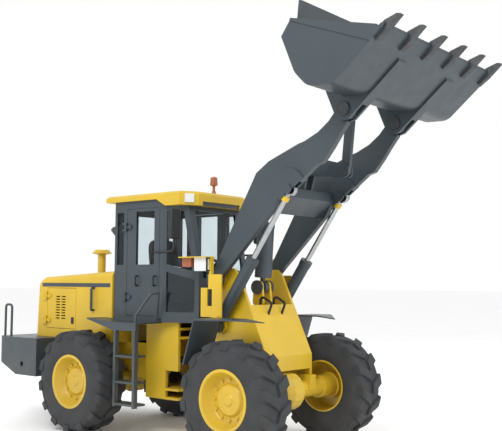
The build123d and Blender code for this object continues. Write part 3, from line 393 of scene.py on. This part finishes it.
def rounded_route(points, bend, steps=8):
    """A route of straight runs with its corners rounded."""
    corners = [Vector(p) for p in points]
    route = [corners[0]]
    for before, here, after in zip(corners, corners[1:], corners[2:]):
        back, ahead = (before - here).normalized(), (after - here).normalized()
        half = back.angle(ahead) / 2
        start, end = here + back * bend / math.tan(half), here + ahead * bend / math.tan(half)
        for k in range(steps + 1):
            t = k / steps
            route.append(start * (1 - t) ** 2 + here * 2 * t * (1 - t) + end * t ** 2)
    return route + [corners[-1]]


def mirror_y(points):
    return [Vector((p[0], -p[1], p[2])) for p in points]


# Wheels
WHEELS = ("front_left", "front_right", "rear_left", "rear_right")
LUGS_PER_SIDE = 14
LUG_HALF = 0.0575
LUG_SKEW = math.radians(30)
LUG_INNER = 0.012
LUG_DRAFT = 0.012
LUG_BEVEL = 0.007
# Carcass section: radius as a share of the tyre's, place across as a share of its half width
CARCASS = [
    (0.493, -0.84), (0.53, -0.90), (0.60, -0.955), (0.70, -0.985), (0.80, -0.98), (0.88, -0.95),
    (0.925, -0.87), (0.942, -0.72), (0.944, 0.0),
]
# Lug rows: share of the way out, radius of its top, radius of its foot
LUG_ROWS = [
    (0.0, 0.998, 0.93), (0.3, 1.0, 0.93), (0.6, 1.0, 0.93), (0.85, 0.996, 0.92), (0.97, 0.972, 0.88),
    (1.0, 0.90, 0.84),
]
# Rim section in metres: radius, place along the axle from the wheel's middle
RIM = [
    (0.0, 0.112), (0.055, 0.112), (0.07, 0.098), (0.16, 0.098), (0.175, 0.085), (0.19, 0.068),
    (0.255, 0.066), (0.272, 0.08), (0.302, 0.19), (0.312, 0.206), (0.345, 0.206), (0.345, 0.197),
    (0.32, 0.195), (0.32, -0.19), (0.303, -0.19), (0.268, 0.036), (0.165, 0.036), (0.165, -0.04),
    (0.0, -0.04),
]
NUT_COUNT = 12
NUT_CIRCLE = 0.222
NUT_RADIUS = 0.019
NUT_HEIGHT = 0.022
NUT_SEAT = 0.066
NUT_SUNK = 0.004
NUT_SIDES = 6
# Nut section: radius as a share of the nut's, height as a share of its height
NUT_LINE = [(0, 1), (0.9, 1), (1, 0.8)]


def lug(centre, radius, half, side, way, turn):
    """Rows of one tread lug: way is the half of the tread it lies on, turn its place round the tyre."""
    rows = []
    for share, top, foot in LUG_ROWS:
        y = way * (LUG_INNER + share * (half - LUG_INNER))
        lean = -math.tan(LUG_SKEW) * share * (half - LUG_INNER)
        section = (
            (foot, lean - LUG_HALF - LUG_DRAFT),
            (top, lean - LUG_HALF),
            (top, lean + LUG_HALF),
            (foot, lean + LUG_HALF + LUG_DRAFT),
        )
        row = []
        for share_of_radius, x in section:
            r, angle = share_of_radius * radius, turn + x / radius
            row.append(centre + Vector((r * math.sin(angle), side * y, r * math.cos(angle))))
        rows.append(row)
    return rows


def wheel(place):
    """Tyre and rim of one wheel, over its CAD nodes."""
    low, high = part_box(f"tyre_{place}")
    centre = (low + high) / 2
    radius = (high.z - low.z) / 2
    half = (high.y - low.y) / 2
    side = 1 if centre.y > 0 else -1
    axle = Vector((0, side, 0))
    tyre = Form()
    section = CARCASS + [(r, -y) for r, y in CARCASS[-2::-1]]
    tyre.ring(centre, axle, [(r * radius, y * half) for r, y in section], RING_STEPS)
    for way, stagger in ((1, 0.5), (-1, 0)):
        for k in range(LUGS_PER_SIDE):
            turn = (k + stagger) * 2 * math.pi / LUGS_PER_SIDE
            tyre.rows(lug(centre, radius, half, side, way, turn), True, True)
    body = f"wheel_{place}"
    shown = piece(f"tyre_{place}_tread", tyre.vertices, tyre.faces, "tyre", body, LUG_BEVEL)
    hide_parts(f"tyre_{place}")
    rim = Form()
    rim.ring(centre, axle, RIM, RING_STEPS)
    nut = [(r * NUT_RADIUS, NUT_SEAT + height * NUT_HEIGHT) for r, height in NUT_LINE]
    nut.append((NUT_RADIUS, NUT_SEAT - NUT_SUNK))
    for k in range(NUT_COUNT):
        turn = 2 * math.pi * k / NUT_COUNT
        seat_place = centre + Vector((math.cos(turn), 0, math.sin(turn))) * NUT_CIRCLE
        rim.ring(seat_place, axle, nut, NUT_SIDES)
    shown = piece(f"rim_{place}_disc", rim.vertices, rim.faces, "yellow", body)
    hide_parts(f"rim_{place}")


# Rails, seat and fittings, in metres from the articulation, which lies behind the frame's origin
ORIGIN_X = 0.2527
RAIL_RADIUS = 0.017
# Rails: points on the right-hand side, bend radius
RAILS = [
    ([(-3.04, -0.96, 1.165), (-3.04, -0.96, 1.61), (-2.89, -0.96, 1.61), (-2.89, -0.96, 1.165)], 0.05),
    ([(-0.245, -0.985, 1.44), (-0.245, -0.985, 1.53), (-0.14, -0.84, 1.79), (-0.09, -0.74, 1.82),
      (-0.19, -0.70, 1.475), (-0.19, -0.62, 1.475)], 0.03),
    ([(-1.46, -0.64, 1.86), (-1.46, -0.69, 1.86), (-1.46, -0.69, 1.56), (-1.46, -0.64, 1.56)], 0.025),
]


def shifted(points):
    return [Vector((x - ORIGIN_X, y, z)) for x, y, z in points]


def rails():
    form = Form()
    for points, bend in RAILS:
        route = rounded_route(shifted(points), bend)
        form.tube(route, RAIL_RADIUS)
        form.tube(mirror_y(route), RAIL_RADIUS)
    shown = piece("rails", form.vertices, form.faces, "slate", "rear_half")
    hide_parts("handrails")


EXHAUST = [(-1.95, 0.20, 2.03), (-1.95, 0.20, 2.63), (-2.06, 0.20, 2.73)]
EXHAUST_BEND = 0.09
EXHAUST_RADIUS = 0.046
MIRROR_ARM = [(-0.19, -0.62, 2.32), (-0.19, -0.76, 2.32), (0.23, -0.81, 2.32), (0.23, -0.81, 2.48)]
MIRROR_BEND = 0.06
MIRROR_RADIUS = 0.014
MIRROR_HEAD = ((0.205, -0.90, 2.47), (0.275, -0.73, 2.85))
MIRROR_PLATE = 0.012
MIRROR_BEVEL = 0.018
PLATE_BEVEL = 0.002


def exhaust():
    form = Form()
    form.tube(rounded_route(shifted(EXHAUST), EXHAUST_BEND), EXHAUST_RADIUS)
    shown = piece("exhaust_pipe", form.vertices, form.faces, "dark_steel", "rear_half")
    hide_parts("exhaust_stack")


def mirrors():
    """Mirror heads on bent arms, each with its reflecting plate towards the operator."""
    route = rounded_route(shifted(MIRROR_ARM), MIRROR_BEND)
    low, high = shifted(MIRROR_HEAD)
    arms, heads, plates = Form(), Form(), Form()
    for side in (1, -1):
        arms.tube(route if side > 0 else mirror_y(route), MIRROR_RADIUS)
        y0, y1 = sorted((side * low.y, side * high.y))
        heads.box((low.x, y0, low.z), (high.x, y1, high.z))
        edge = MIRROR_PLATE
        plates.box((low.x - edge / 4, y0 + edge, low.z + edge), (low.x + edge, y1 - edge, high.z - edge))
    shown = piece("mirror_arms", arms.vertices, arms.faces, "black_plastic", "rear_half")
    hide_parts("mirrors")
    piece("mirror_heads", heads.vertices, heads.faces, "black_plastic", "rear_half", MIRROR_BEVEL)
    piece("mirror_plates", plates.vertices, plates.faces, "rod_chrome", "rear_half", PLATE_BEVEL)


PAD_ROUND = 5
PAD_CUTS = 14
PAD_CROWN = 0.025
# Sewn grooves: places across the pad and width as shares of its half width, depth as a share of the crown
GROOVES = (-0.5, 0.5)
GROOVE_WIDTH = 0.07
GROOVE_DEPTH = 0.35


def pad(name, low, high, lean):
    """A stuffed cushion: a rounded block with a crowned top and two sewn grooves."""
    form = bmesh.new()
    bmesh.ops.create_cube(form, size=2)
    bmesh.ops.subdivide_edges(form, edges=form.edges, cuts=PAD_CUTS, use_grid_fill=True)
    middle, half = (low + high) / 2, (high - low) / 2
    vertices = []
    for vertex in form.verts:
        x, y, z = vertex.co
        size = sum(abs(c) ** PAD_ROUND for c in (x, y, z)) ** (1 / PAD_ROUND)
        x, y, z = x / size, y / size, z / size
        groove = sum(math.exp(-((y - at) / GROOVE_WIDTH) ** 2) for at in GROOVES)
        crown = PAD_CROWN * ((1 - x * x) * (1 - y * y) - GROOVE_DEPTH * groove) if z > 0 else 0
        place = middle + Vector((x * half.x, y * half.y, z * half.z - PAD_CROWN + crown))
        vertices.append((place.x + lean * (place.z - low.z), place.y, place.z))
    faces = [tuple(v.index for v in face.verts) for face in form.faces]
    form.free()
    shown = piece(name, vertices, faces, "fabric", "rear_half")
    return shown


SEAT_BASE_HEIGHT = 0.30
CUSHION_INSET = 0.08
CUSHION_HEIGHT = 0.14
BACK_FOOT = 0.12
BACK_REACH = (0.10, 0.20)
BACK_INSET = 0.01
BACK_LEAN = -0.14
STAND_REACH = (0.14, 0.10)
STAND_INSET = 0.06
STAND_OVERLAP = 0.01
STAND_BEVEL = 0.012


def seat():
    """Two stuffed cushions on a stand, over the CAD seat."""
    low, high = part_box("seat")
    base_top = low.z + SEAT_BASE_HEIGHT
    cushion = pad("seat_cushion", Vector((low.x + CUSHION_INSET, low.y, base_top)),
                  Vector((high.x, high.y, base_top + CUSHION_HEIGHT)), 0)
    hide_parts("seat")
    near, far = BACK_REACH
    pad("seat_back", Vector((low.x + near, low.y + BACK_INSET, base_top + BACK_FOOT)),
        Vector((low.x + far, high.y - BACK_INSET, high.z)), BACK_LEAN)
    stand = Form()
    rear, front = STAND_REACH
    stand.box((low.x + rear, low.y + STAND_INSET, low.z),
              (high.x - front, high.y - STAND_INSET, base_top + STAND_OVERLAP))
    piece("seat_stand", stand.vertices, stand.faces, "black_plastic", "rear_half", STAND_BEVEL)


SIDES = ((-1, "right"), (1, "left"))
SKIN = 0.002
TRIM_BEVEL = 0.006
HOOD_WALL = 0.64
STRIPE_X = (-2.62, -1.13)
STRIPE_Z = (1.872, 1.925)
LATCH_REACH = 0.09
LATCH_SIZE = (0.05, 0.012)
LATCH_Z = (1.36, 1.45)
DOOR_WALL = 0.62
HANDLE_PLACES = (-0.62, -0.29)
HANDLE_Z = (1.90, 2.02)
HANDLE_REACH = 0.04
HANDLE_BEND = 0.012
HANDLE_RADIUS = 0.011


def fittings():
    """Trim on both sides: stripe and latch on the hood, handles on the cab door."""
    latch_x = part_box("hood_door_right")[1].x - LATCH_REACH
    for side, label in SIDES:
        wall = side * HOOD_WALL
        stripe = Form()
        stripe.box((STRIPE_X[0] - ORIGIN_X, wall - SKIN, STRIPE_Z[0]),
                   (STRIPE_X[1] - ORIGIN_X, wall + SKIN, STRIPE_Z[1]))
        piece(f"hood_stripe_{label}", stripe.vertices, stripe.faces, "slate", "rear_half")
        latch = Form()
        length, proud = LATCH_SIZE
        latch.box((latch_x, wall - proud, LATCH_Z[0]), (latch_x + length, wall + proud, LATCH_Z[1]))
        piece(f"hood_latch_{label}", latch.vertices, latch.faces, "black_plastic",
              f"hood_door_{label}", TRIM_BEVEL)
        handle = Form()
        door = side * DOOR_WALL
        away = door + side * HANDLE_REACH
        bottom, top = HANDLE_Z
        for x in HANDLE_PLACES:
            grip = shifted([(x, door, bottom), (x, away, bottom), (x, away, top), (x, door, top)])
            handle.tube(rounded_route(grip, HANDLE_BEND), HANDLE_RADIUS)
        piece(f"door_handles_{label}", handle.vertices, handle.faces, "black_plastic", f"cab_door_{label}")


INDICATOR_Y = (0.63, 0.73)
INDICATOR_Z = (2.13, 2.24)
INDICATOR_LENGTH = 0.15
BEZEL_Y = (0.63, 0.74)
BEZEL_Z = (2.08, 2.24)
BEZEL_EDGE = 0.014
BEZEL_X = (-0.01, 0.012)


def indicators():
    """Amber shells over the indicators, and a black frame round each headlamp's lens."""
    low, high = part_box("headlamps")
    for side, label in SIDES:
        shell = Form()
        y0, y1 = sorted(side * y for y in INDICATOR_Y)
        shell.box((low.x - SKIN, y0 - SKIN, INDICATOR_Z[0] - SKIN),
                  (low.x + INDICATOR_LENGTH + SKIN, y1 + SKIN, INDICATOR_Z[1]))
        piece(f"indicator_{label}", shell.vertices, shell.faces, "amber", "front_half", TRIM_BEVEL)
        bezel = Form()
        y0, y1 = sorted(side * y for y in BEZEL_Y)
        z0, z1 = BEZEL_Z
        back, front = BEZEL_X
        bars = (
            (y0, y1, z0, z0 + BEZEL_EDGE),
            (y0, y1, z1 - BEZEL_EDGE, z1),
            (y0, y0 + BEZEL_EDGE, z0, z1),
            (y1 - BEZEL_EDGE, y1, z0, z1),
        )
        for a, b, c, d in bars:
            bezel.box((high.x + back, a, c), (high.x + front, b, d))
        piece(f"lamp_bezel_{label}", bezel.vertices, bezel.faces, "black_plastic",
              "front_half", TRIM_BEVEL / 2)


# Lower corner panes of the cab, dark sheets of painted shade: side-view outline, and the slanted wall's
# two plan corners
PANE_LINE = [(-0.11, 1.57), (0.262, 1.57), (0.262, 1.975), (-0.11, 2.075)]
PANE_WALL = ((-0.164, 0.62), (0.32, 0.45))
PANE_DEPTH = (0.030, 0.036)
# Painted shade: a dark strip under the roof's overhanging visor
VISOR_PAINTED_SHADE = ((0.258, -0.356, 2.912), (0.264, 0.356, 2.962))
ROD_RING = (0.032, 0.046)
ROD_RING_PLACE = (0.095, 0.15)
LIFT_EYE = (1.80, 0.53, 3.00)
LIFT_BASE = (0.70, 0.53, 1.42)


def dark_panes():
    """Dark sheets behind the lower corner windows, painted shade for the cab's dim inside, and a dark
    strip in the visor, painted shade under the roof's overhang.
    """
    (x0, y0), (x1, y1) = PANE_WALL
    for side, label in SIDES:
        rows = []
        for depth in PANE_DEPTH:
            wall = [y0 + (x - x0) * (y1 - y0) / (x1 - x0) - depth for x, z in PANE_LINE]
            rows.append(shifted([(x, side * y, z) for (x, z), y in zip(PANE_LINE, wall)]))
        form = Form()
        form.rows(rows, True, True)
        # Each dark sheet is painted shade for the cab's dim inside behind the glass
        piece(f"painted_shade_pane_{label}", form.vertices, form.faces, "shade_pane", "rear_half")
    # A dark strip of painted shade under the roof's visor
    strip = Form()
    strip.box(*shifted(VISOR_PAINTED_SHADE))
    piece("visor_painted_shade", strip.vertices, strip.faces, "slate", "rear_half")


def rod_rings():
    """The yellow collar at the end of each lift rod."""
    eye, base = shifted([LIFT_EYE, LIFT_BASE])
    along = (base - eye).normalized()
    form = Form()
    (inner, outer), (near, far) = ROD_RING, ROD_RING_PLACE
    profile = [(inner, near), (outer, near), (outer, far), (inner, far)]
    for place in (eye, *mirror_y([eye])):
        form.ring(place, along, profile, TUBE_STEPS * 2)
    piece("rod_rings", form.vertices, form.faces, "yellow", "lift_rods")


# Stage
FLOOR_SIZE = 400
FLOOR_TONES = ((0.93, 0.93, 0.93), (0.96, 0.96, 0.96))
SKY_STRENGTH = 1.0
# Lights: name, place, target, size, power
LIGHTS = [
    ("key", (4, -11, 11), (0, 0, 1.5), 6, 1100),
    ("fill", (12, 2, 6), (0, 0, 2), 7, 350),
    ("rim", (-9, 8, 9), (0, 0, 2), 6, 400),
]


def make_camera():
    data = bpy.data.cameras.new("camera")
    data.sensor_width = SENSOR_MM
    data.lens = FOCAL_PIXELS * SENSOR_MM / IMAGE_WIDTH
    camera = bpy.data.objects.new("camera", data)
    bpy.context.scene.collection.objects.link(camera)
    forward = Vector((math.cos(CAMERA_PITCH) * math.sin(CAMERA_YAW),
                      math.cos(CAMERA_PITCH) * math.cos(CAMERA_YAW), math.sin(CAMERA_PITCH)))
    right = forward.cross(Vector((0, 0, 1))).normalized()
    up = right.cross(forward)
    turned_right = right * math.cos(CAMERA_ROLL) + up * math.sin(CAMERA_ROLL)
    turned_up = up * math.cos(CAMERA_ROLL) - right * math.sin(CAMERA_ROLL)
    axes = Matrix((turned_right, turned_up, -forward)).transposed()
    camera.matrix_world = Matrix.Translation(CAMERA_PLACE) @ axes.to_4x4()
    bpy.context.scene.camera = camera


def make_floor():
    material, tree, shader = new_material("floor")
    patches = spread(tree, noise(tree, 0.6), "Fac", 0.0, 1.0)
    base = mix_colour(tree, patches, "Result", *FLOOR_TONES)
    tree.links.new(base.outputs[2], shader.inputs["Base Color"])
    shader.inputs["Roughness"].default_value = 0.9
    bpy.ops.mesh.primitive_plane_add(size=FLOOR_SIZE)
    floor = bpy.context.object
    floor.name = "floor"
    floor.data.materials.append(material)


def area_light(name, place, target, size, power):
    data = bpy.data.lights.new(name, "AREA")
    data.size = size
    data.energy = power
    lamp = bpy.data.objects.new(name, data)
    bpy.context.scene.collection.objects.link(lamp)
    lamp.location = place
    lamp.rotation_euler = (Vector(target) - Vector(place)).to_track_quat("-Z", "Y").to_euler()


def make_light():
    world = bpy.data.worlds.new("studio")
    world.use_nodes = True
    sky = world.node_tree.nodes["Background"]
    sky.inputs["Color"].default_value = (1, 1, 1, 1)
    sky.inputs["Strength"].default_value = SKY_STRENGTH
    bpy.context.scene.world = world
    for name, place, target, size, power in LIGHTS:
        area_light(name, place, target, size, power)
    bpy.context.scene.view_settings.view_transform = "Standard"


dress_nodes()
for name in WHEELS:
    wheel(name)
rails()
exhaust()
mirrors()
seat()
fittings()
indicators()
dark_panes()
rod_rings()
make_camera()
make_floor()
make_light()
